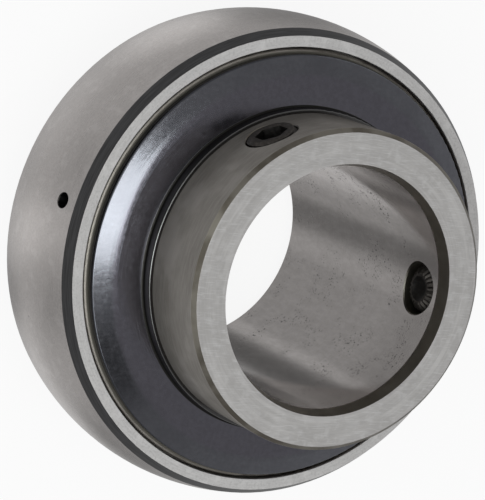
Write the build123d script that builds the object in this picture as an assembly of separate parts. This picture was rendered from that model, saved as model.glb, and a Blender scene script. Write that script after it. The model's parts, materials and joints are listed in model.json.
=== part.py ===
"""Insert ball bearing with a wide inner ring held on its shaft by two set screws.

Lengths are millimetres and angles are degrees. The origin is the centre of the spherical outside, +Z runs
along the bore towards the set screw end, and +X points through the first set screw.
"""

from build123d import *
import math
import os

# Rolling parts, from the bore outwards
BORE_DIAMETER = 25.4
INNER_WALL = 2.8
BALL_DIAMETER = 7.94
BALL_COUNT = 9
BALL_CLEARANCE = 0.05
OUTER_WALL = 2.46
GROOVE_CONFORMITY = 0.52

# Inner ring
LONG_SIDE = 19.8
SHORT_SIDE = 14.3
INNER_SHOULDER = 1.3
FRONT_MOUTH_LENGTH = 1.5
FRONT_MOUTH_DEPTH = 0.45
BACK_MOUTH_LENGTH = 1.7
BACK_MOUTH_DEPTH = 1.15
RIM_CHAMFER = 0.46

# Outer ring
OUTER_RING_WIDTH = 16.0
OUTER_SHOULDER = 1.5
OUTER_CHAMFER_LENGTH = 1.16
OUTER_CHAMFER_DEPTH = 0.7
SEAL_SEAT_STEP = 1.14
SEAL_SEAT_DEPTH = 2.2
SEAL_SEAT_EDGE = 0.1
LUBRICATION_HOLE_DIAMETER = 1.7
LUBRICATION_HOLE_INSET = 3.12
LUBRICATION_HOLE_ANGLE = 170.0

# Riveted ribbon cage
CAGE_SHEET = 0.7
CAGE_WIDTH = 3.2
POCKET_CLEARANCE = 0.12
RIVET_DIAMETER = 1.0
RIVET_HEAD_DIAMETER = 1.8
RIVET_HEAD_HEIGHT = 0.35
RIVET_FIT = 0.01

# Seals, each a rubber washer between two steel plates
SEAL_BACKING_SHEET = 0.45
SEAL_RUBBER = 1.0
SEAL_COVER_SHEET = 0.5
SEAL_FIT = 0.08
SEAL_COVER_FIT = 0.15
SEAL_COVER_BEND = 0.3
SEAL_PLATE_BORE_GAP = 1.8
SEAL_RUBBER_SETBACK = 0.5
SEAL_LIP_GAP = 0.08
SEAL_LIP_WIDTH = 1.5
SEAL_LIP_EDGE = 0.3

# Slingers, pressed sheet dishes that turn with the inner ring
SLINGER_SHEET = 0.4
SLINGER_SEAL_GAP = 0.2
SLINGER_RIM_GAP = 0.62
SLINGER_RIM_HEIGHT = 0.78
SLINGER_RIM_BEND = 0.2
SLINGER_CONE_WIDTH = 2.1
SLINGER_CONE_RISE = 0.51
SLINGER_BREAK_BEND = 7.0
SLINGER_FLAT_RISE = 0.28
SLINGER_ROOT_BEND = 0.25
SLINGER_COLLAR_HEIGHT = 1.38
SLINGER_COLLAR_EDGE = 0.15

# Set screws, drawn plain at the pitch diameter of their thread
THREAD_DIAMETER = 6.0
THREAD_PITCH = 0.75
THREAD_CLEARANCE = 0.04
SCREW_SPACING = 119.0
SCREW_INSET = 5.0
SCREW_HOLE_EDGE = 0.12
SCREW_LENGTH = 4.2
SCREW_TIP_CLEARANCE = 0.03
SCREW_END_CHAMFER = 0.44
SOCKET_ACROSS_FLATS = 3.0
SOCKET_DEPTH = 2.0
POINT_DIAMETER = 3.4
POINT_LENGTH = 0.85
CUP_DIAMETER = 2.7
CUP_DEPTH = 1.0
KNURL_COUNT = 20
KNURL_DEPTH = 0.16

# Radii and heights that follow from the sizes above
bore_radius = BORE_DIAMETER / 2
ball_radius = BALL_DIAMETER / 2
groove_radius = GROOVE_CONFORMITY * BALL_DIAMETER
inner_groove_bottom = bore_radius + INNER_WALL
inner_ring_radius = inner_groove_bottom + INNER_SHOULDER
pitch_radius = inner_groove_bottom + BALL_CLEARANCE + ball_radius
outer_groove_bottom = pitch_radius + ball_radius + BALL_CLEARANCE
outside_radius = outer_groove_bottom + OUTER_WALL
land_radius = outer_groove_bottom - OUTER_SHOULDER
seat_radius = land_radius + SEAL_SEAT_STEP
face_height = OUTER_RING_WIDTH / 2
seat_height = face_height - SEAL_SEAT_DEPTH
rubber_height = seat_height + SEAL_BACKING_SHEET
cover_height = rubber_height + SEAL_RUBBER
cover_top = cover_height + SEAL_COVER_SHEET
plate_bore_radius = inner_ring_radius + SEAL_PLATE_BORE_GAP
thread_radius = (THREAD_DIAMETER - 3 * math.sqrt(3) / 8 * THREAD_PITCH) / 2
screw_height = LONG_SIDE - SCREW_INSET
screw_radius = thread_radius - THREAD_CLEARANCE
screw_tip_reach = bore_radius + SCREW_TIP_CLEARANCE


def turned(*edges):
    """Solid of revolution about Z of a closed outline, given by its edges in radius and height."""
    outline = edges[0]
    for edge in edges[1:]:
        outline = outline + edge
    return revolve(Plane.XZ * make_face(outline), Axis.Z)


def around(shape, count, start=0.0):
    """Copies of a shape spread evenly about Z."""
    return [Rot(0, 0, start + 360 / count * index) * shape for index in range(count)]


def post(radius, height):
    """Cylinder that stands on its foot at the origin."""
    return Cylinder(radius, height, align=(Align.CENTER, Align.CENTER, Align.MIN))


def both_sides(name, shape):
    """The front part and its mirror image at the back."""
    return {name + "_front": shape, name + "_back": mirror(shape, Plane.XY)}


def groove_half_width(shoulder):
    """Half the width of a ball groove where it meets a shoulder of this height."""
    return math.sqrt(groove_radius**2 - (groove_radius - shoulder) ** 2)


def along_radius(angle, height):
    """Place whose own Z points straight out from the bore axis at this angle and height."""
    return Rot(0, 0, angle) * Pos(0, 0, height) * Rot(0, 90, 0)


def outer_ring():
    """Ring with a spherical outside, a ball groove, a stepped seat for each seal and a lubrication hole."""
    chamfer_height = face_height - OUTER_CHAMFER_LENGTH
    chamfer_radius = math.sqrt(outside_radius**2 - chamfer_height**2)
    face_radius = chamfer_radius - OUTER_CHAMFER_DEPTH
    groove_edge = groove_half_width(OUTER_SHOULDER)
    sphere = ThreePointArc(
        (chamfer_radius, -chamfer_height), (outside_radius, 0), (chamfer_radius, chamfer_height)
    )
    front = Polyline(
        (chamfer_radius, chamfer_height),
        (face_radius, face_height),
        (seat_radius + SEAL_SEAT_EDGE, face_height),
        (seat_radius, face_height - SEAL_SEAT_EDGE),
        (seat_radius, seat_height),
        (land_radius, seat_height),
        (land_radius, groove_edge),
    )
    groove = ThreePointArc((land_radius, groove_edge), (outer_groove_bottom, 0), (land_radius, -groove_edge))
    back = mirror(front, Plane.XZ)
    ring = turned(sphere, front, groove, back)
    hole = post(LUBRICATION_HOLE_DIAMETER / 2, outside_radius)
    hole_height = face_height - LUBRICATION_HOLE_INSET
    return ring - along_radius(LUBRICATION_HOLE_ANGLE, hole_height) * hole


def screw_angles():
    """Angles of the two set screws about the bore."""
    return (0.0, SCREW_SPACING)


def inner_ring():
    """Wide ring with the shaft bore, a ball groove and the two tapped holes of the set screws."""
    front_mouth_radius = bore_radius + FRONT_MOUTH_DEPTH
    back_mouth_radius = bore_radius + BACK_MOUTH_DEPTH
    rim_radius = inner_ring_radius - RIM_CHAMFER
    groove_edge = groove_half_width(INNER_SHOULDER)
    groove = ThreePointArc(
        (inner_ring_radius, -groove_edge), (inner_groove_bottom, 0), (inner_ring_radius, groove_edge)
    )
    outline = Polyline(
        (inner_ring_radius, groove_edge),
        (inner_ring_radius, LONG_SIDE - RIM_CHAMFER),
        (rim_radius, LONG_SIDE),
        (front_mouth_radius, LONG_SIDE),
        (bore_radius, LONG_SIDE - FRONT_MOUTH_LENGTH),
        (bore_radius, BACK_MOUTH_LENGTH - SHORT_SIDE),
        (back_mouth_radius, -SHORT_SIDE),
        (rim_radius, -SHORT_SIDE),
        (inner_ring_radius, RIM_CHAMFER - SHORT_SIDE),
        (inner_ring_radius, -groove_edge),
    )
    # The turned surfaces start on the side away from both holes, so each mouth is one whole edge.
    ring = Rot(0, 0, 180 + SCREW_SPACING / 2) * turned(groove, outline)
    hole = post(thread_radius, outside_radius)
    for angle in screw_angles():
        ring = ring - along_radius(angle, screw_height) * hole
    mouths = [edge for edge in ring.edges() if is_hole_mouth(edge)]
    return chamfer(mouths, SCREW_HOLE_EDGE)


def is_hole_mouth(edge):
    """Whether an edge is the mouth of a tapped hole, on the outside or in the bore."""
    box = edge.bounding_box()
    tall = abs(box.size.Z - 2 * thread_radius) < SCREW_HOLE_EDGE
    return tall and abs(box.center().Z - screw_height) < SCREW_HOLE_EDGE and edge.is_closed


def ball():
    """One ball on its pitch circle, at +X."""
    return Pos(pitch_radius, 0, 0) * Sphere(ball_radius)


def cage_half():
    """Upper half of the ribbon cage: flat webs between round pockets that lap over the balls."""
    inside = pitch_radius - CAGE_WIDTH / 2
    outside = pitch_radius + CAGE_WIDTH / 2
    pocket_radius = ball_radius + POCKET_CLEARANCE
    shell_radius = pocket_radius + CAGE_SHEET
    band = ring_band(inside, outside, shell_radius)
    half = ring_band(inside, outside, CAGE_SHEET)
    for dome in around(Pos(pitch_radius, 0, 0) * Sphere(shell_radius), BALL_COUNT):
        half = half + (band & dome)
    for pocket in around(Pos(pitch_radius, 0, 0) * Sphere(pocket_radius), BALL_COUNT):
        half = half - pocket
    for hole in around(rivet_shank(RIVET_DIAMETER / 2 + RIVET_FIT), BALL_COUNT, 180 / BALL_COUNT):
        half = half - hole
    return half


def ring_band(inside, outside, height):
    """Flat ring that stands on the middle plane."""
    return turned(Polyline((inside, 0), (outside, 0), (outside, height), (inside, height), close=True))


def rivet_shank(radius):
    """Shank of a cage rivet, on the pitch circle at +X."""
    return Pos(pitch_radius, 0, 0) * Cylinder(radius, 2 * CAGE_SHEET)


def cage_rivets():
    """One rivet in each web, between the balls."""
    top = Pos(pitch_radius, 0, CAGE_SHEET) * post(RIVET_HEAD_DIAMETER / 2, RIVET_HEAD_HEIGHT)
    rivet = rivet_shank(RIVET_DIAMETER / 2) + top + mirror(top, Plane.XY)
    return Compound(around(rivet.solid(), BALL_COUNT, 180 / BALL_COUNT))


def seal_backing():
    """Inner steel plate of the seal, against the shoulder of its seat."""
    outside = seat_radius - SEAL_FIT
    return turned(
        Polyline(
            (plate_bore_radius, seat_height),
            (outside, seat_height),
            (outside, rubber_height),
            (plate_bore_radius, rubber_height),
            close=True,
        )
    )


def seal_rubber():
    """Rubber washer whose lip leans out to the inner ring."""
    outside = seat_radius - SEAL_RUBBER_SETBACK
    root = inner_ring_radius + SEAL_LIP_WIDTH
    tip = inner_ring_radius + SEAL_LIP_GAP
    return turned(
        Polyline(
            (root, rubber_height),
            (outside, rubber_height),
            (outside, cover_height),
            (root, cover_height),
            (tip, cover_top),
            (tip, cover_top - SEAL_LIP_EDGE),
            close=True,
        )
    )


def seal_cover():
    """Outer steel plate of the seal, with its outer edge rounded over."""
    outside = seat_radius - SEAL_COVER_FIT
    edge = FilletPolyline(
        (outside, cover_height), (outside, cover_top), (plate_bore_radius, cover_top), radius=SEAL_COVER_BEND
    )
    rest = Polyline(
        (plate_bore_radius, cover_top), (plate_bore_radius, cover_height), (outside, cover_height)
    )
    return turned(edge, rest)


def slinger():
    """Dished sheet ring: a rim that hangs over the seal, a cone, a flat and a collar on the inner ring."""
    rim = seat_radius - SLINGER_RIM_GAP
    rim_foot = cover_top + SLINGER_SEAL_GAP
    rim_top = rim_foot + SLINGER_RIM_HEIGHT
    bend = rim - SLINGER_CONE_WIDTH
    bend_top = rim_top + SLINGER_CONE_RISE
    root = inner_ring_radius + SLINGER_SHEET
    root_top = bend_top + SLINGER_FLAT_RISE
    collar_top = root_top + SLINGER_COLLAR_HEIGHT
    outside = FilletPolyline(
        (rim, rim_foot),
        (rim, rim_top),
        (bend, bend_top),
        (root, root_top),
        (root, collar_top),
        (inner_ring_radius, collar_top),
        radius=[SLINGER_RIM_BEND, SLINGER_BREAK_BEND, SLINGER_ROOT_BEND, SLINGER_COLLAR_EDGE],
    )
    inside = Polyline(
        (inner_ring_radius, collar_top),
        (inner_ring_radius, root_top - SLINGER_SHEET),
        (bend, bend_top - SLINGER_SHEET),
        (rim - SLINGER_SHEET, rim_top - SLINGER_SHEET),
        (rim - SLINGER_SHEET, rim_foot),
        (rim, rim_foot),
    )
    return turned(outside, inside)


def set_screw():
    """Screw along its own Z: a hollow knurled point at the bottom and a hexagon socket at the top."""
    point_radius = POINT_DIAMETER / 2
    cup_radius = CUP_DIAMETER / 2
    body = turned(
        Polyline(
            (0, CUP_DEPTH),
            (cup_radius, 0),
            (point_radius, 0),
            (screw_radius, POINT_LENGTH),
            (screw_radius, SCREW_LENGTH - SCREW_END_CHAMFER),
            (screw_radius - SCREW_END_CHAMFER, SCREW_LENGTH),
            (0, SCREW_LENGTH),
            close=True,
        )
    )
    hexagon = RegularPolygon(SOCKET_ACROSS_FLATS / 2, 6, major_radius=False)
    socket = Pos(0, 0, SCREW_LENGTH - SOCKET_DEPTH) * extrude(hexagon, SOCKET_DEPTH)
    body = body - socket
    for groove in around(knurl_groove(), KNURL_COUNT):
        body = body - groove
    return body


def knurl_groove():
    """Notch cut along the slope of the screw's point, at +X."""
    point_radius = POINT_DIAMETER / 2
    slope = math.degrees(math.atan2(POINT_LENGTH, screw_radius - point_radius))
    length = 2 * math.hypot(POINT_LENGTH, screw_radius - point_radius)
    notch = Rot(45, 0, 0) * Box(length, math.sqrt(2) * KNURL_DEPTH, math.sqrt(2) * KNURL_DEPTH)
    middle = (point_radius + screw_radius) / 2
    return Pos(middle, 0, POINT_LENGTH / 2) * Rot(0, -slope, 0) * notch


def placed_screw(angle):
    """A set screw in its tapped hole, with its tip just clear of the shaft's space."""
    return along_radius(angle, screw_height) * Pos(0, 0, screw_tip_reach) * set_screw()


def all_parts():
    """Every piece of the bearing under its own name."""
    parts = {"outer_ring": outer_ring(), "inner_ring": inner_ring()}
    for number, piece in enumerate(around(ball(), BALL_COUNT), start=1):
        parts[f"ball_{number}"] = piece
    parts.update(both_sides("cage_half", cage_half()))
    parts["cage_rivets"] = cage_rivets()
    parts.update(both_sides("seal_backing", seal_backing()))
    parts.update(both_sides("seal_rubber", seal_rubber()))
    parts.update(both_sides("seal_cover", seal_cover()))
    parts.update(both_sides("slinger", slinger()))
    for number, angle in enumerate(screw_angles(), start=1):
        parts[f"set_screw_{number}"] = placed_screw(angle)
    return parts


os.makedirs("parts", exist_ok=True)
for name, piece in all_parts().items():
    export_step(piece, f"parts/{name}.step")
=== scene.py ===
"""Looks, light and camera for an insert ball bearing.

Lengths in the scene are metres. The materials work in millimetres: Graph scales their coordinates.
"""

import json
import math

import bmesh
import bpy
from mathutils import Matrix, Vector


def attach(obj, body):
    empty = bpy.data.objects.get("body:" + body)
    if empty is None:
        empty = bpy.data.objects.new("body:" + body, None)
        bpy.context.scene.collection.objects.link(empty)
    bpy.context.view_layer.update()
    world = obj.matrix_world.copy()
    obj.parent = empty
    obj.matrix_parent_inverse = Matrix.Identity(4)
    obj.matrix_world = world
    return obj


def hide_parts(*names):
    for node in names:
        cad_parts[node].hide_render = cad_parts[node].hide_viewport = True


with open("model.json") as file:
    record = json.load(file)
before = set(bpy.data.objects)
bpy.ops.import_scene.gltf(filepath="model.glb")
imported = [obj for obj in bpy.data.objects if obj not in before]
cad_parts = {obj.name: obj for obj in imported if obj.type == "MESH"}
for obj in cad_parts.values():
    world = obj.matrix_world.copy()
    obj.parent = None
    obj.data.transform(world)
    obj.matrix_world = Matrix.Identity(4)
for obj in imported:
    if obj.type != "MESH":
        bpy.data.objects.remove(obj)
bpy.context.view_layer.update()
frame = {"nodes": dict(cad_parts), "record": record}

MM = 0.001

# Zones of the outer ring, in millimetres
SPHERE_RADIUS = 26.0
OUTER_FACE_HEIGHT = 8.0
OUTER_CHAMFER_HEIGHT = 6.84
OUTER_CHAMFER_INSIDE = 24.2
HOLE_EDGE = 0.15
HOLE_INSIDE = 24.1
HOLE_TOP = 5.84

# Zones of the inner ring, in millimetres
INNER_FACE_HEIGHT = 19.8
INNER_BACK_HEIGHT = 14.3
INNER_RING_RADIUS = 16.8
BORE_RADIUS = 12.7
RIM_INSIDE = 15.0
# Painted shade on the inner ring's outside: darkest beside the slinger, turning to painted light towards
# the rim
OUTSIDE_SHADED_TO = 11.2
OUTSIDE_CLEAR_FROM = 18.2
BORE_DARKER_FROM = 8
BORE_DARKEST_FROM = 17

# Zones of the slingers and seal plates, in millimetres
# Painted shade lies on the slinger outside its rim radius and on its collar's wall below its top
SLINGER_RIM_INSIDE = 22.45
SLINGER_BREAK = 20.5
COLLAR_OUTSIDE = 17.41
COLLAR_WALL_TOP = 10.82
# Painted shadow of the slinger's rim lies on the seal plate inside this ridge
SEAL_RIDGE = 22.78

# How far a zone reaches past the corner where it begins, and over what length it blends, in millimetres
FACE_MARGIN = 0.03
FACE_BLEND = 0.02
WALL_MARGIN = 0.02
WALL_BLEND = 0.015

# Set screws, in millimetres and degrees
SCREW_ANGLES = (0.0, 119.0)
SCREW_HEIGHT = 14.8
SCREW_TIP_REACH = 12.73
SCREW_LENGTH = 4.2
SCREW_RADIUS = 2.716
SCREW_END_RADIUS = 2.28
THREAD_PITCH = 0.75
THREAD_DEPTH = 0.42
THREAD_CREST = 0.07
THREAD_ROOT = 0.37
POINT_RADIUS = 1.7
POINT_LENGTH = 0.85
CUP_RADIUS = 1.35
CUP_DEPTH = 1.0
KNURL_COUNT = 20
KNURL_DEPTH = 0.24
KNURL_SHARE = 0.72
SOCKET_MOUTH_RADIUS = 1.8
SOCKET_FLAT = 1.5
SOCKET_EDGE = 0.07
SOCKET_DEPTH = 2.0
SOCKET_BOTTOM = 2.35
SCREW_COLUMNS = 120
ROWS_PER_PITCH = 12
SHARP_EDGE_ANGLE = 25
SAME_POINT = 1e-5

# Angles of the scratches on the inner ring's faces, in degrees
SCRATCH_ANGLES = (20, -48, 85)

# Floor: its radius in metres, and its distance from the bearing and its hole in millimetres
FLOOR_RADIUS = 1.5
FLOOR_SIDES = 96
FLOOR_CLEARANCE = 0.05
FLOOR_HOLE_RADIUS = 15.0

# Shades of the floor for light that bounces and for the camera, and how much of each is its own glow
FLOOR_GREY = 0.62
PAPER_GREY = 0.9
MIRRORED_GLOW = 0.75
SEEN_GLOW = 0.9

# How bright the floor looks in steel, a painted glow that only reflections see: near the ring and far from
# it, with the radii in millimetres
FLOOR_NEAR = 27
FLOOR_FAR = 56
FLOOR_NEAR_LEVEL = 0.5
FLOOR_FAR_LEVEL = 0.44

# Patches of that painted glow, the darker ones painted shadow: centre and half sizes in millimetres, turn
# in degrees, change of level
FLOOR_PATCHES = (
    (-11, 31, 11, 8, 50, 0.36),
    (-24, 17, 12, 6, 55, 0.12),
    (-33, -2, 8, 7, 0, 0.26),
    (-48, -2, 18, 7, 0, 0.20),
    (-16, -24, 16, 5, -35, 0.28),
    (-24, -10, 4, 5, 0, -0.20),
    (10, 34, 13, 12, 0, -0.27),
    (-9, -38, 16, 9, 0, -0.3),
    (-46, -21, 14, 10, 0, -0.20),
    (-48, 18, 11, 12, 0, -0.12),
)

# How bright the room looks in steel
CEILING_LEVEL = 0.285
HORIZON_LEVEL = 0.6
BELOW_LEVEL = 0.46

# Patches of that room: angle to the bore, azimuth and spread in degrees, change of level
ROOM_PATCHES = (
    (25, 283, 10, -0.22),
    (147, 223, 11, -0.21),
    (147, 55, 15, -0.29),
    (147, 85, 6, 0.14),
    (147, 190, 8, 0.10),
    (147, 300, 26, 0.30),
)

# Lamps: name, angle to the bore, azimuth, distance in metres, width and length in degrees, radiance, roll
LAMPS = (
    ("strip", 17, 197, 0.6, 16.5, 51, 3.25, -7),
    ("panel", 34, 188, 0.8, 66, 34, 1.5, 0),
)
LAMP_TINT = (0.96, 1.0, 0.985)

# Camera, solved from the ellipses of the rings: its axes and place before a turn about the bore in degrees
CAMERA_TURN = 4.1
CAMERA_RIGHT = (0.874135, 0.103177, 0.474597)
CAMERA_UP = (0, 0.977175, -0.212438)
CAMERA_BACK = (-0.485683, 0.185699, 0.854183)
CAMERA_PLACE = (-0.14776, 0.05625, 0.2590)
CAMERA_LENS = 203.34
CAMERA_SHIFT = (-0.001, 0.001)


def grey(level, warm=0.0):
    """Grey, a little warmer or cooler, and a touch rosy against the tint of the lamps."""
    return (level * (1 + warm), level * 0.985, level * (1 - warm), 1)


def greys(first, second, warm=0.0):
    """Two greys of the same warmth, for a finish that varies between them."""
    return grey(first, warm), grey(second, warm)


class Nodes:
    """Node tree with short ways to add and join its nodes."""

    def __init__(self, tree):
        self.tree = tree

    def add(self, kind, **settings):
        """New node with some of its settings changed."""
        node = self.tree.nodes.new(kind)
        for name, value in settings.items():
            setattr(node, name, value)
        return node

    def join(self, source, socket):
        """Link a socket, or set its number or colour."""
        if isinstance(source, bpy.types.NodeSocket):
            self.tree.links.new(source, socket)
        else:
            socket.default_value = source

    def math(self, operation, first, second=None):
        """Result of a Math node."""
        node = self.add("ShaderNodeMath", operation=operation)
        self.join(first, node.inputs[0])
        if second is not None:
            self.join(second, node.inputs[1])
        return node.outputs[0]

    def diagonal(self, first, second):
        """Distance over two lengths that stand square to each other."""
        first = self.math("MULTIPLY", first, first)
        second = self.math("MULTIPLY", second, second)
        return self.math("SQRT", self.math("ADD", first, second))

    def ramp(self, value, low, high, start=0.0, end=1.0):
        """Smooth change from start to end while the value goes from low to high."""
        node = self.add("ShaderNodeMapRange", interpolation_type="SMOOTHSTEP")
        for source, name in ((value, "Value"), (low, "From Min"), (high, "From Max"), (start, "To Min")):
            self.join(source, node.inputs[name])
        self.join(end, node.inputs["To Max"])
        return node.outputs[0]

    def above(self, value, edge, width=0.03):
        """1 where the value is over the edge, 0 where it is under it."""
        return self.ramp(value, edge - width, edge + width)

    def below(self, value, edge, width=0.03):
        """1 where the value is under the edge, 0 where it is over it."""
        return self.ramp(value, edge - width, edge + width, 1.0, 0.0)

    def both(self, first, second):
        """1 where both masks are 1."""
        return self.math("MULTIPLY", first, second)

    def mix(self, mask, first, second):
        """Number between two numbers."""
        node = self.add("ShaderNodeMix", data_type="FLOAT")
        for source, index in ((mask, 0), (first, 2), (second, 3)):
            self.join(source, node.inputs[index])
        return node.outputs[0]

    def tint(self, mask, first, second, blend="MIX"):
        """Colour between two colours."""
        node = self.add("ShaderNodeMix", data_type="RGBA", blend_type=blend)
        for source, index in ((mask, 0), (first, 6), (second, 7)):
            self.join(source, node.inputs[index])
        return node.outputs[2]

    def blend(self, share, first, second):
        """Shader between two shaders."""
        node = self.add("ShaderNodeMixShader")
        self.join(share, node.inputs[0])
        self.join(first.outputs[0], node.inputs[1])
        self.join(second.outputs[0], node.inputs[2])
        return node


class Graph(Nodes):
    """Node tree of one material, with its coordinates in millimetres."""

    def __init__(self, name, metallic=1.0):
        self.material = bpy.data.materials.new(name)
        self.material.use_nodes = True
        super().__init__(self.material.node_tree)
        self.shader = self.tree.nodes["Principled BSDF"]
        self.shader.inputs["Metallic"].default_value = metallic
        where = self.add("ShaderNodeTexCoord").outputs["Object"]
        scaled = self.add("ShaderNodeVectorMath", operation="SCALE")
        self.join(where, scaled.inputs[0])
        scaled.inputs["Scale"].default_value = 1 / MM
        self.place = scaled.outputs[0]
        parts = self.add("ShaderNodeSeparateXYZ")
        self.join(self.place, parts.inputs[0])
        self.x, self.y, self.z = parts.outputs
        self.radius = self.diagonal(self.x, self.y)
        self.height = self.math("ABSOLUTE", self.z)

    def stretched(self, along, across, axis):
        """Coordinates for marks that run round the bore: slow along them and quick along the axis value."""
        node = self.add("ShaderNodeCombineXYZ")
        self.join(self.math("MULTIPLY", self.x, along), node.inputs[0])
        self.join(self.math("MULTIPLY", self.y, along), node.inputs[1])
        self.join(self.math("MULTIPLY", axis, across), node.inputs[2])
        return node.outputs[0]

    def turned_about(self, angle, along, across):
        """Coordinates for straight marks in the XY plane, at an angle in degrees."""
        node = self.add("ShaderNodeMapping")
        self.join(self.place, node.inputs["Vector"])
        node.inputs["Rotation"].default_value = (0, 0, math.radians(angle))
        node.inputs["Scale"].default_value = (along, across, along)
        return node.outputs[0]

    def noise(self, where=None, scale=1.0, detail=2.0, roughness=0.5):
        """Soft noise between 0 and 1."""
        node = self.add("ShaderNodeTexNoise")
        self.join(where if where is not None else self.place, node.inputs["Vector"])
        node.inputs["Scale"].default_value = scale
        node.inputs["Detail"].default_value = detail
        node.inputs["Roughness"].default_value = roughness
        return node.outputs["Fac"]

    def specks(self, scale, size, share):
        """Small round specks: one per cell of 1/scale mm, of which only a share is kept."""
        node = self.add("ShaderNodeTexVoronoi")
        self.join(self.place, node.inputs["Vector"])
        node.inputs["Scale"].default_value = scale
        near = self.ramp(node.outputs["Distance"], size * scale * 0.5, size * scale, 1.0, 0.0)
        parts = self.add("ShaderNodeSeparateColor")
        self.join(node.outputs["Color"], parts.inputs[0])
        kept = self.math("LESS_THAN", parts.outputs[0], share)
        return self.both(near, kept)

    def scratches(self, angle):
        """Fine straight scratches at an angle."""
        lines = self.noise(self.turned_about(angle, 0.5, 9.0), detail=1.0)
        return self.ramp(lines, 0.6, 0.75)

    def between(self, noise, first, second, low=0.3, high=0.7):
        """Colour that goes from the first to the second while a noise rises from low to high."""
        return self.tint(self.ramp(noise, low, high), first, second)

    def layered(self, colour, *layers):
        """Colour under layers: each is a value, where it begins and is full, its share and its colour."""
        for value, low, high, share, over in layers:
            colour = self.tint(self.ramp(value, low, high, 0.0, share), colour, over)
        return colour

    def uneven(self, noise, start, end):
        """Number that follows a noise from start to end."""
        return self.ramp(noise, 0.2, 0.8, start, end)

    def finish(self, colour, roughness, heights=(), metallic=None):
        """Join colour, roughness and bump, the bump as pairs of height and depth in millimetres."""
        self.join(colour, self.shader.inputs["Base Color"])
        if metallic is not None:
            self.join(metallic, self.shader.inputs["Metallic"])
        self.join(roughness, self.shader.inputs["Roughness"])
        normal = None
        for height, depth in heights:
            bump = self.add("ShaderNodeBump")
            bump.inputs["Distance"].default_value = depth * MM
            self.join(height, bump.inputs["Height"])
            if normal is not None:
                self.join(normal, bump.inputs["Normal"])
            normal = bump.outputs["Normal"]
        if normal is not None:
            self.join(normal, self.shader.inputs["Normal"])
        return self.material


def lubrication_hole(g):
    """1 on the wall of the lubrication hole: under the sphere's surface and clear of the chamfers."""
    reach = g.diagonal(g.radius, g.z)
    under = g.below(reach, SPHERE_RADIUS - HOLE_EDGE, 0.08)
    hole = g.both(under, g.above(g.radius, HOLE_INSIDE))
    return g.both(hole, g.below(g.height, HOLE_TOP))


def outer_ring_material():
    """Ground sphere with fine grain round it, dark turned chamfers, pale matte faces and painted shade in
    the lubrication hole.
    """
    g = Graph("outer_ring_steel")
    face_start = OUTER_FACE_HEIGHT - FACE_MARGIN
    face = g.above(g.height, face_start, FACE_BLEND)
    edge = g.above(g.height, OUTER_CHAMFER_HEIGHT, FACE_BLEND)
    edge = g.both(edge, g.below(g.height, face_start, FACE_BLEND))
    chamfer = g.both(edge, g.above(g.radius, OUTER_CHAMFER_INSIDE))
    grain = g.noise(g.stretched(0.35, 9.0, g.z), detail=3.0)
    turned = g.noise(g.stretched(0.5, 9.0, g.radius))
    cloud = g.noise(scale=0.22, detail=3.0)
    grit = g.noise(scale=4.0)
    patch = g.noise(scale=0.8, detail=3.0)
    ground = g.layered(
        g.between(grain, *greys(0.585, 0.635, 0.044)),
        (grit, 0.35, 0.65, 0.6, grey(0.515, 0.044)),
        (cloud, 0.35, 0.7, 0.35, grey(0.54, 0.046)),
        (patch, 0.5, 0.75, 0.5, grey(0.7, 0.04)),
    )
    pale = g.layered(
        g.between(turned, *greys(0.62, 0.7, 0.018)),
        (grit, 0.45, 0.7, 0.6, grey(0.515, 0.022)),
        (patch, 0.5, 0.75, 0.7, grey(0.77, 0.018)),
    )
    dark = g.between(grain, *greys(0.072, 0.108, -0.01))
    colour = g.tint(face, ground, pale)
    # painted shade: the wall of the lubrication hole is near black
    colour = g.tint(lubrication_hole(g), colour, grey(0.07))
    colour = g.tint(chamfer, colour, dark)
    spots = g.specks(scale=0.45, size=0.2, share=0.16)
    colour = g.tint(g.math("MULTIPLY", spots, 0.8), colour, grey(0.12))
    roughness = g.mix(face, g.uneven(grain, 0.26, 0.34), g.uneven(turned, 0.46, 0.56))
    roughness = g.mix(chamfer, roughness, 0.3)
    metallic = g.mix(face, 1.0, 0.25)
    return g.finish(colour, roughness, ((grain, 0.002), (turned, 0.003)), metallic)


def inner_outside(g, cloud):
    """Warm grey outside with soft patches and fine wear round it, with painted shade beside the slinger and
    painted light towards the rim.
    """
    patch = g.noise(scale=0.22, detail=3.0)
    wear = g.noise(g.stretched(0.5, 4.0, g.z), detail=3.0, roughness=0.6)
    warm = g.between(cloud, (0.192, 0.178, 0.165, 1), (0.23, 0.215, 0.2, 1))
    warm = g.tint(g.ramp(patch, 0.35, 0.6, 0.55, 0.0), warm, (0.17, 0.157, 0.145, 1))
    warm = g.layered(
        warm,
        (patch, 0.5, 0.7, 0.6, (0.3, 0.28, 0.268, 1)),
        (wear, 0.35, 0.7, 0.35, (0.285, 0.27, 0.255, 1)),
    )
    # painted shade beside the slinger and painted light towards the rim, multiplied into the colour
    painted_shade = g.ramp(g.height, OUTSIDE_SHADED_TO, OUTSIDE_CLEAR_FROM, 0.6, 1.15)
    return g.tint(1.0, warm, painted_shade, "MULTIPLY")


def inner_bore(g, grain, pits):
    """Satin mottled bore, darker towards the screws and darkest in its pits."""
    mottle = g.noise(g.stretched(1.6, 0.7, g.z), detail=4.0, roughness=0.7)
    satin = g.layered(
        g.between(grain, *greys(0.485, 0.52, 0.045)),
        (mottle, 0.35, 0.7, 0.7, grey(0.6, 0.04)),
        (g.z, BORE_DARKER_FROM, BORE_DARKEST_FROM, 0.5, grey(0.36, 0.05)),
    )
    return g.tint(g.math("MULTIPLY", pits, 0.85), satin, grey(0.07))


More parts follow.
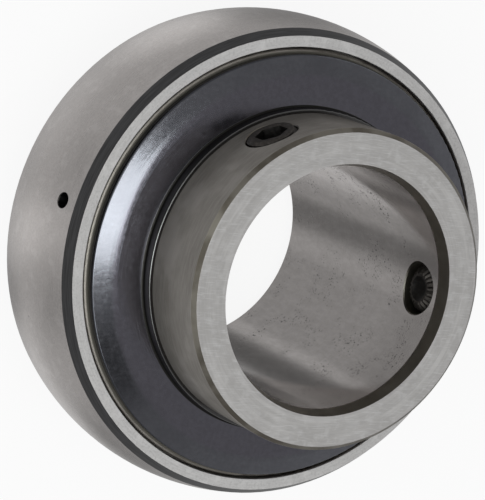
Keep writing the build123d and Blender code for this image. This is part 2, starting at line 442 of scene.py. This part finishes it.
def inner_faces(g, turned, cloud):
    """Pale turned faces with blotches, bands round them and crossing scratches."""
    blotch = g.noise(scale=1.1, detail=4.0, roughness=0.6)
    band = g.noise(g.stretched(0.12, 1.6, g.radius))
    pale = g.layered(
        g.between(turned, *greys(0.468, 0.532, 0.026), 0.25, 0.75),
        (cloud, 0.35, 0.65, 0.6, grey(0.43, 0.03)),
        (blotch, 0.48, 0.7, 0.6, grey(0.59, 0.018)),
        (band, 0.5, 0.72, 0.5, grey(0.61, 0.024)),
    )
    marks = g.scratches(SCRATCH_ANGLES[0])
    for angle in SCRATCH_ANGLES[1:]:
        marks = g.math("MAXIMUM", marks, g.scratches(angle))
    return g.tint(g.math("MULTIPLY", marks, 0.3), pale, grey(0.8))


def inner_edges(g, cloud, satin):
    """Dark olive mouth and brown rim in front. The back's chamfers are as satin as the bore."""
    mouth = g.between(cloud, (0.255, 0.245, 0.212, 1), (0.33, 0.316, 0.275, 1))
    rim = g.between(cloud, (0.145, 0.13, 0.108, 1), (0.25, 0.232, 0.2, 1), 0.35, 0.65)
    dark = g.tint(g.above(g.radius, RIM_INSIDE, 0.5), mouth, rim)
    return g.tint(g.below(g.z, 0.0), dark, satin)


def inner_ring_material():
    """Turned ring: pale scratched faces, warm grey outside, satin pitted bore and dark chamfers."""
    g = Graph("inner_ring_steel")
    front = g.above(g.z, INNER_FACE_HEIGHT - FACE_MARGIN, FACE_BLEND)
    back = g.below(g.z, FACE_MARGIN - INNER_BACK_HEIGHT, FACE_BLEND)
    face = g.math("MAXIMUM", front, back)
    bore = g.below(g.radius, BORE_RADIUS + WALL_MARGIN, WALL_BLEND)
    outside = g.above(g.radius, INNER_RING_RADIUS - WALL_MARGIN, WALL_BLEND)
    grain = g.noise(g.stretched(0.3, 10.0, g.z), detail=3.0)
    turned = g.noise(g.stretched(0.4, 7.0, g.radius))
    cloud = g.noise(scale=0.35, detail=4.0)
    pitted = g.above(g.noise(scale=0.35, detail=3.0), 0.56, 0.05)
    pits = g.both(g.above(g.noise(scale=4.5), 0.65, 0.03), pitted)
    pits = g.both(pits, bore)
    satin = inner_bore(g, grain, pits)
    colour = g.tint(face, inner_edges(g, cloud, satin), inner_faces(g, turned, cloud))
    colour = g.tint(bore, colour, satin)
    colour = g.tint(outside, colour, inner_outside(g, cloud))
    roughness = g.mix(face, 0.34, g.uneven(turned, 0.44, 0.54))
    roughness = g.mix(bore, roughness, g.ramp(cloud, 0.3, 0.7, 0.11, 0.16))
    roughness = g.mix(outside, roughness, g.ramp(cloud, 0.3, 0.7, 0.5, 0.6))
    g.shader.inputs["Specular IOR Level"].default_value = 0.0
    metallic = g.mix(outside, g.mix(face, 1.0, 0.25), 0.0)
    return g.finish(colour, roughness, ((grain, 0.003), (turned, 0.002), (pits, -0.02)), metallic)


def slinger_material():
    """Blued pressed sheet, mottled: plum on its flat and grey on its collar, with painted shade: near black
    on the collar's wall and dark at its rim.
    """
    g = Graph("slinger_steel")
    mottle = g.noise(scale=2.2, detail=4.0, roughness=0.65)
    cloud = g.noise(scale=0.3)
    rings = g.noise(g.stretched(0.3, 6.0, g.radius))
    blue = g.layered(
        g.between(mottle, (0.23, 0.234, 0.262, 1), (0.264, 0.268, 0.299, 1)),
        (cloud, 0.35, 0.7, 0.4, (0.197, 0.198, 0.225, 1)),
    )
    plum = g.between(mottle, (0.233, 0.226, 0.262, 1), (0.264, 0.257, 0.3, 1))
    collar = g.below(g.radius, COLLAR_OUTSIDE, 0.04)
    wall = g.both(collar, g.below(g.height, COLLAR_WALL_TOP, 0.03))
    rim = g.above(g.radius, SLINGER_RIM_INSIDE, 0.08)
    colour = g.tint(g.below(g.radius, SLINGER_BREAK, 0.3), blue, plum)
    colour = g.tint(collar, colour, (0.17, 0.167, 0.167, 1))
    # painted shade: the collar's wall beside the inner ring is near black
    colour = g.tint(wall, colour, (0.026, 0.025, 0.023, 1))
    # painted shade: the rim is dark
    colour = g.tint(rim, colour, (0.06, 0.063, 0.074, 1))
    roughness = g.mix(wall, g.uneven(mottle, 0.14, 0.2), 0.4)
    return g.finish(colour, roughness, ((mottle, 0.004), (rings, 0.004)))


def seal_plate_material():
    """Olive passivated sheet with a faint cloudiness, and a painted shadow of the slinger's rim inside its
    ridge.
    """
    g = Graph("seal_plate_steel")
    cloud = g.noise(scale=0.6, detail=3.0)
    rings = g.noise(g.stretched(0.3, 6.0, g.radius))
    colour = g.between(cloud, (0.34, 0.315, 0.285, 1), (0.43, 0.4, 0.368, 1))
    # painted shadow of the slinger's rim: darker inside the ridge
    colour = g.tint(g.below(g.radius, SEAL_RIDGE, 0.08), colour, (0.195, 0.181, 0.158, 1))
    return g.finish(colour, g.uneven(cloud, 0.52, 0.62), ((rings, 0.004),))


def rubber_material():
    """Matte black rubber."""
    g = Graph("seal_rubber", metallic=0.0)
    cloud = g.noise(scale=3.0, detail=3.0)
    colour = g.between(cloud, *greys(0.022, 0.035))
    return g.finish(colour, g.uneven(cloud, 0.6, 0.75), ((cloud, 0.01),))


def ball_material():
    """Lapped bearing steel."""
    g = Graph("ball_steel")
    cloud = g.noise(scale=0.8)
    colour = g.between(cloud, *greys(0.72, 0.78))
    return g.finish(colour, g.uneven(cloud, 0.06, 0.1))


def cage_material():
    """Pressed sheet steel with a tumbled finish."""
    g = Graph("cage_steel")
    mottle = g.noise(scale=4.0, detail=3.0)
    colour = g.between(mottle, *greys(0.45, 0.55, 0.01))
    return g.finish(colour, g.uneven(mottle, 0.35, 0.5), ((mottle, 0.008),))


def screw_material():
    """Black oxide steel, worn a little in places."""
    g = Graph("screw_steel")
    mottle = g.noise(scale=3.0, detail=4.0)
    colour = g.between(mottle, *greys(0.052, 0.1, 0.09), 0.35, 0.75)
    return g.finish(colour, g.uneven(mottle, 0.5, 0.62), ((mottle, 0.006),))


def shaded_hollow_material():
    """Black oxide steel inside a socket or a cup, darker than the screw's outside as painted shade in these
    hollows.
    """
    g = Graph("screw_hollow_shaded")
    mottle = g.noise(scale=3.0, detail=3.0)
    # painted shade: darker than the screw's own black oxide
    colour = g.between(mottle, *greys(0.032, 0.052, 0.05), 0.35, 0.75)
    return g.finish(colour, g.uneven(mottle, 0.5, 0.6), ((mottle, 0.006),))


def make_materials():
    """Materials by the names of their slots in the record."""
    return {
        "outer_ring_steel": outer_ring_material(),
        "inner_ring_steel": inner_ring_material(),
        "ball_steel": ball_material(),
        "cage_steel": cage_material(),
        "seal_plate_steel": seal_plate_material(),
        "seal_rubber": rubber_material(),
        "slinger_steel": slinger_material(),
        "screw_steel": screw_material(),
    }


def dress(by_slot):
    """Put each node's material, chosen by its slot in the record, on its object."""
    slots = {part["node"]: part["material_slot"] for part in frame["record"]["subparts"]}
    for node, slot in slots.items():
        cad = frame["nodes"][node]
        for index in range(len(cad.material_slots)):
            cad.material_slots[index].link = "OBJECT"
            cad.material_slots[index].material = by_slot[slot]


def thread_reach(angle, height):
    """How far the screw's side reaches: a thread between the knurled point and the chamfered end."""
    turn = (height / THREAD_PITCH - angle / math.tau) % 1
    fall = (min(turn, 1 - turn) - THREAD_CREST) / (THREAD_ROOT - THREAD_CREST)
    thread = SCREW_RADIUS - THREAD_DEPTH * min(max(fall, 0), 1)
    notch = abs(angle / math.tau * KNURL_COUNT % 1 - 0.5) * 2
    notch = max(0, (notch - 1 + KNURL_SHARE) / KNURL_SHARE)
    slope = (SCREW_RADIUS - POINT_RADIUS) / POINT_LENGTH
    point = POINT_RADIUS + slope * height - KNURL_DEPTH * notch
    end = SCREW_END_RADIUS + SCREW_LENGTH - height
    return min(thread, point, end)


def tip_reach(angle):
    """How far the rim of the knurled point reaches."""
    return thread_reach(angle, 0)


def end_reach(angle):
    """How far the rim of the chamfered end reaches."""
    return thread_reach(angle, SCREW_LENGTH)


def hexagon_reach(angle):
    """How far the side of the hexagon socket reaches."""
    flat = math.tau / 6
    return SOCKET_FLAT / math.cos(angle % flat - flat / 2)


def screw_turns():
    """Angle of each column of the screw's points."""
    return [math.tau * column / SCREW_COLUMNS for column in range(SCREW_COLUMNS)]


def add_point(mesh, reach, angle, height):
    """Point of the screw at a distance from its axis."""
    return mesh.verts.new((reach * math.cos(angle), reach * math.sin(angle), height))


def add_round(mesh, radius, height):
    """Circle of points. With no radius they all lie on the axis, and are merged later."""
    return [add_point(mesh, radius, angle, height) for angle in screw_turns()]


def add_outline(mesh, reach, height):
    """Ring of points that reach as far as a function of the angle says."""
    return [add_point(mesh, reach(angle), angle, height) for angle in screw_turns()]


def add_bands(mesh, rings, slot):
    """Faces from each ring of points to the next, with the material of a slot."""
    for low, high in zip(rings, rings[1:]):
        for column in range(SCREW_COLUMNS):
            after = (column + 1) % SCREW_COLUMNS
            face = mesh.faces.new((low[column], low[after], high[after], high[column]))
            face.material_index = slot


def add_side(mesh):
    """Threaded side. Its rows climb a pitch in a turn, so the last column joins the first a pitch up."""
    rows = math.ceil(SCREW_LENGTH / THREAD_PITCH * ROWS_PER_PITCH) + ROWS_PER_PITCH
    columns = []
    for angle in screw_turns():
        column = []
        for row in range(rows + 1):
            height = (row / ROWS_PER_PITCH - 1 + angle / math.tau) * THREAD_PITCH
            height = min(max(height, 0), SCREW_LENGTH)
            column.append(add_point(mesh, thread_reach(angle, height), angle, height))
        columns.append(column)
    columns.append(columns[0][ROWS_PER_PITCH:])
    for near, far in zip(columns, columns[1:]):
        for row in range(min(len(near), len(far)) - 1):
            mesh.faces.new((near[row], far[row], far[row + 1], near[row + 1]))


def screw_mesh():
    """Set screw along its own Z with its point at the origin, in millimetres."""
    mesh = bmesh.new()
    add_side(mesh)
    tip = add_outline(mesh, tip_reach, 0)
    cup = add_round(mesh, CUP_RADIUS, 0)
    add_bands(mesh, (tip, cup), 0)
    add_bands(mesh, (cup, add_round(mesh, 0, CUP_DEPTH)), 1)
    end = add_outline(mesh, end_reach, SCREW_LENGTH)
    mouth = add_round(mesh, SOCKET_MOUTH_RADIUS, SCREW_LENGTH)
    edge = add_outline(mesh, hexagon_reach, SCREW_LENGTH - SOCKET_EDGE)
    add_bands(mesh, (end, mouth, edge), 0)
    foot = add_outline(mesh, hexagon_reach, SCREW_LENGTH - SOCKET_DEPTH)
    add_bands(mesh, (edge, foot, add_round(mesh, 0, SCREW_LENGTH - SOCKET_BOTTOM)), 1)
    bmesh.ops.remove_doubles(mesh, verts=mesh.verts, dist=SAME_POINT)
    bmesh.ops.recalc_face_normals(mesh, faces=mesh.faces)
    return mesh


def screw_place(angle):
    """Turn and move that take the screw's mesh to its hole, in millimetres."""
    level = Matrix.Rotation(math.radians(angle), 4, "Z") @ Matrix.Translation((0, 0, SCREW_HEIGHT))
    outwards = Matrix.Rotation(math.radians(90), 4, "Y") @ Matrix.Translation((0, 0, SCREW_TIP_REACH))
    return level @ outwards


def add_screws(steel, shaded_hollow):
    """Threaded set screws in place of the CAD's plain ones."""
    for number, angle in enumerate(SCREW_ANGLES, start=1):
        mesh = screw_mesh()
        mesh.transform(Matrix.Scale(MM, 4) @ screw_place(angle))
        data = bpy.data.meshes.new(f"threaded_screw_{number}")
        mesh.to_mesh(data)
        mesh.free()
        data.materials.append(steel)
        # second slot: painted shade inside the cup and the socket
        data.materials.append(shaded_hollow)
        data.shade_smooth()
        data.set_sharp_from_angle(angle=math.radians(SHARP_EDGE_ANGLE))
        screw = bpy.data.objects.new(data.name, data)
        bpy.context.scene.collection.objects.link(screw)
        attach(screw, f"set_screw_{number}")
        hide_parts(f"set_screw_{number}")


def add_patch(g, total, x, y, across, up, turn, change):
    """Total with a soft oval patch added: its centre and half sizes in millimetres, turned by degrees."""
    turn = math.radians(turn)
    dx = g.math("SUBTRACT", g.x, x)
    dy = g.math("SUBTRACT", g.y, y)
    first = g.math("ADD", g.math("MULTIPLY", dx, math.cos(turn)), g.math("MULTIPLY", dy, math.sin(turn)))
    second = g.math("MULTIPLY", dy, math.cos(turn))
    second = g.math("SUBTRACT", second, g.math("MULTIPLY", dx, math.sin(turn)))
    far = g.diagonal(g.math("DIVIDE", first, across), g.math("DIVIDE", second, up))
    return g.math("ADD", total, g.ramp(far, 0.25, 1.3, change, 0.0))


def painted_reflection_glow(g):
    """Painted glow of the floor round the ring, as its sphere mirrors it: paler and darker places, as in a
    room.
    """
    level = g.ramp(g.radius, FLOOR_NEAR, FLOOR_FAR, FLOOR_NEAR_LEVEL, FLOOR_FAR_LEVEL)
    for patch in FLOOR_PATCHES:
        level = add_patch(g, level, *patch)
    return level


def floor_material():
    """Nearly white for the camera, with a soft shadow left on it, and pale grey for light that bounces.

    Steel mirrors an uneven painted glow of the floor, and what lies below it where the bore stands on it.
    """
    g = Graph("floor")
    output = g.tree.nodes["Material Output"]
    g.tree.nodes.remove(g.shader)
    path = g.add("ShaderNodeLightPath")
    pale = g.add("ShaderNodeBsdfDiffuse")
    pale.inputs["Color"].default_value = grey(FLOOR_GREY)
    paper = g.add("ShaderNodeBsdfDiffuse")
    paper.inputs["Color"].default_value = grey(PAPER_GREY)
    white = g.add("ShaderNodeEmission")
    seen = g.blend(SEEN_GLOW, paper, white)
    glow = g.add("ShaderNodeEmission")
    # painted glow that only reflections see, with paler patches and darker ones as painted shadow
    g.join(painted_reflection_glow(g), glow.inputs["Strength"])
    mirrored = g.blend(MIRRORED_GLOW, pale, glow)
    hole = g.add("ShaderNodeBsdfTransparent")
    mirrored = g.blend(g.above(g.radius, FLOOR_HOLE_RADIUS, 0.5), hole, mirrored)
    glossy = g.math("MAXIMUM", path.outputs["Is Glossy Ray"], path.outputs["Is Transmission Ray"])
    surface = g.blend(glossy, pale, mirrored)
    surface = g.blend(path.outputs["Is Camera Ray"], surface, seen)
    g.join(surface.outputs[0], output.inputs["Surface"])
    return g.material


def add_floor():
    """Pale disc just under the bearing."""
    place = (0, 0, -(INNER_BACK_HEIGHT + FLOOR_CLEARANCE) * MM)
    bpy.ops.mesh.primitive_circle_add(
        vertices=FLOOR_SIDES, radius=FLOOR_RADIUS, fill_type="NGON", location=place
    )
    floor = bpy.context.object
    floor.name = "floor"
    floor.data.materials.append(floor_material())


def aim(polar, azimuth):
    """Unit vector of a direction given by its angle to the bore and its azimuth, in degrees."""
    polar = math.radians(polar)
    azimuth = math.radians(azimuth)
    aside = math.sin(polar)
    return Vector((aside * math.cos(azimuth), aside * math.sin(azimuth), math.cos(polar)))


def add_glow(nodes, where, total, polar, azimuth, spread, change):
    """Total with a soft round patch added in one direction, spread in degrees."""
    near = nodes.add("ShaderNodeVectorMath", operation="DOT_PRODUCT")
    nodes.join(where, near.inputs[0])
    nodes.join(aim(polar, azimuth), near.inputs[1])
    edge = math.cos(math.radians(spread))
    return nodes.math("ADD", total, nodes.ramp(near.outputs["Value"], edge, 1.0, 0.0, change))


def set_world():
    """White for the camera. Steel mirrors a grey room: dim above, paler at the horizon, uneven below."""
    world = bpy.data.worlds.new("studio")
    bpy.context.scene.world = world
    world.use_nodes = True
    nodes = Nodes(world.node_tree)
    nodes.tree.nodes.clear()
    where = nodes.add("ShaderNodeTexCoord").outputs["Generated"]
    parts = nodes.add("ShaderNodeSeparateXYZ")
    nodes.join(where, parts.inputs[0])
    rise = parts.outputs[2]
    level = nodes.ramp(rise, 0.1, 0.8, HORIZON_LEVEL, CEILING_LEVEL)
    level = nodes.mix(nodes.above(rise, 0.0, 0.05), BELOW_LEVEL, level)
    for patch in ROOM_PATCHES:
        level = add_glow(nodes, where, level, *patch)
    dim = nodes.add("ShaderNodeBackground")
    nodes.join(level, dim.inputs["Strength"])
    white = nodes.add("ShaderNodeBackground")
    path = nodes.add("ShaderNodeLightPath")
    seen = nodes.blend(path.outputs["Is Camera Ray"], dim, white)
    output = nodes.add("ShaderNodeOutputWorld")
    nodes.join(seen.outputs[0], output.inputs["Surface"])


def add_lamp(name, polar, azimuth, distance, across, along, radiance, roll):
    """Soft panel that faces the bearing, from a direction given as in aim()."""
    out = aim(polar, azimuth)
    data = bpy.data.lights.new(name, "AREA")
    data.shape = "RECTANGLE"
    data.size = 2 * distance * math.tan(math.radians(across / 2))
    data.size_y = 2 * distance * math.tan(math.radians(along / 2))
    data.energy = radiance * math.pi * data.size * data.size_y
    data.color = LAMP_TINT
    lamp = bpy.data.objects.new(name, data)
    lamp.location = out * distance
    facing = out.to_track_quat("Z", "Y").to_matrix() @ Matrix.Rotation(math.radians(roll), 3, "Z")
    lamp.rotation_euler = facing.to_euler()
    bpy.context.scene.collection.objects.link(lamp)


def add_camera():
    """Camera at the photograph's angle."""
    turn = Matrix.Rotation(math.radians(CAMERA_TURN), 3, "Z")
    data = bpy.data.cameras.new("camera")
    data.sensor_fit = "AUTO"
    data.sensor_width = 36
    data.lens = CAMERA_LENS
    data.shift_x, data.shift_y = CAMERA_SHIFT
    data.clip_start = 0.01
    camera = bpy.data.objects.new("camera", data)
    axes = [turn @ Vector(axis) for axis in (CAMERA_RIGHT, CAMERA_UP, CAMERA_BACK)]
    place = Matrix(axes).transposed().to_4x4()
    place.translation = turn @ Vector(CAMERA_PLACE)
    camera.matrix_world = place
    bpy.context.scene.collection.objects.link(camera)
    bpy.context.scene.camera = camera


materials = make_materials()
dress(materials)
add_screws(materials["screw_steel"], shaded_hollow_material())
add_floor()
set_world()
for lamp in LAMPS:
    add_lamp(*lamp)
add_camera()
bpy.context.scene.view_settings.view_transform = "Standard"
